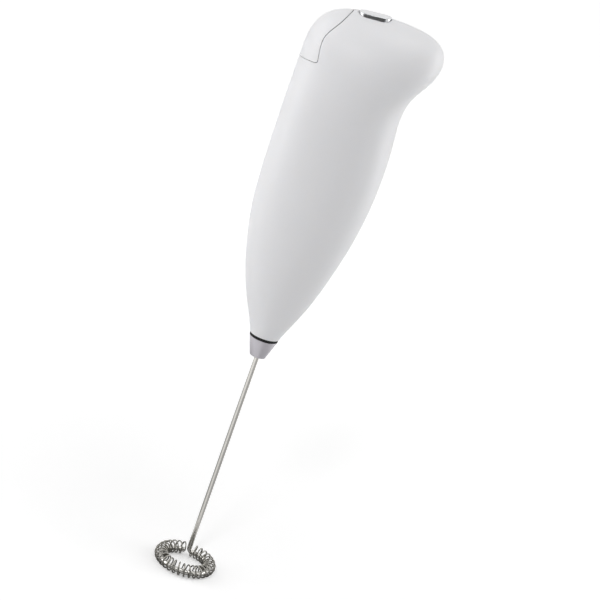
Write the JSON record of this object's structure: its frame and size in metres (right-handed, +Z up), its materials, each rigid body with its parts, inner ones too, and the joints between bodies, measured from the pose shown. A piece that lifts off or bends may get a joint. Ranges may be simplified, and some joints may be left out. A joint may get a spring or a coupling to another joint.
{
  "type": "milk frother",
  "caption": "Battery milk frother with a smooth hooked handle, a press button on top and a coil-wrapped ring whisk on a thin steel shaft.",
  "frame": {"origin": "on the spin axis, level with the underside of the whisk ring, which is the working tip of the tool", "axes": "+Z up the spin axis from the whisk to the handle; +X towards the hook of the handle; -Y towards the front half of the handle, the side that the whisk ring is offset to at rest"},
  "size_m": [0.0483, 0.0387, 0.2149],
  "materials": {
    "handle_white": "fine satin moulded white",
    "screw_steel": "zinc-plated",
    "nozzle_silver": "satin silver-grey moulding",
    "seal_rubber": "matt black",
    "bush_bronze": "sintered bronze",
    "motor_steel": "plated pressed steel",
    "magnet_ferrite": "ferrite",
    "motor_nylon": "natural nylon",
    "contact_nickel": "nickel-plated",
    "contact_copper": "phosphor bronze and copper",
    "shaft_steel": "ground",
    "core_steel": "laminated",
    "winding_copper": "enamelled copper",
    "coupling_nylon": "natural nylon",
    "whisk_steel": "bright stainless wire",
    "cell_sleeve": "plain shrink sleeve",
    "cradle_plastic": "black moulding",
    "button_chrome": "bright plated",
    "lead_black": "flexible insulation",
    "lead_red": "flexible insulation",
    "lead_white": "flexible insulation"
  },
  "bodies": {
    "handle": {"front_shell": "handle_white", "rear_shell": "handle_white", "shell_screws": "screw_steel", "nozzle": "nozzle_silver", "nozzle_seal": "seal_rubber", "shaft_bush": "bush_bronze", "motor_can": "motor_steel", "motor_magnets": "magnet_ferrite", "motor_end_cap": "motor_nylon", "motor_terminals": "contact_nickel", "motor_brushes": "contact_copper", "motor_front_bush": "bush_bronze", "motor_rear_bush": "bush_bronze", "battery_front": "cell_sleeve", "battery_rear": "cell_sleeve", "battery_cradle": "cradle_plastic", "negative_spring": "contact_nickel", "positive_terminal": "contact_nickel", "switch_base": "cradle_plastic", "switch_contact": "contact_copper", "switch_terminal": "contact_copper", "lead_negative": "lead_black", "lead_positive": "lead_red", "lead_switched": "lead_white"},
    "cap": {"battery_cap": "handle_white", "bridge_contact": "contact_nickel"},
    "button": {"power_button": "button_chrome"},
    "leaf": {"switch_leaf": "contact_copper"},
    "rotor": {"motor_shaft": "shaft_steel", "armature_core": "core_steel", "armature_windings": "winding_copper", "commutator": "contact_copper", "shaft_coupling": "coupling_nylon", "whisk_frame": "whisk_steel", "whisk_coil": "whisk_steel"}
  },
  "joints": [
    {"name": "whisk_spin", "type": "hinge", "parent": "handle", "child": "rotor", "pos_m": [0, 0, 0.1], "axis": [0, 0, 1], "continuous": true},
    {"name": "button_press", "type": "slide", "parent": "handle", "child": "button", "axis": [0.1045, 0, -0.9945], "range_m": [0, 0.0012], "stiffness_N_per_m": 600, "springref_m": -0.0005},
    {"name": "leaf_flex", "type": "hinge", "parent": "handle", "child": "leaf", "pos_m": [0.00735, 0, 0.20905], "axis": [0, -1, 0], "range_deg": [0, 9.5]},
    {"name": "cap_slide", "type": "slide", "parent": "handle", "child": "cap", "axis": [-0.8486, 0, 0.529], "range_m": [0, 0.03]}
  ],
  "couplings": [
    {"joint": "leaf_flex", "follows": "button_press", "rad_per_m": 133.33}
  ]
}
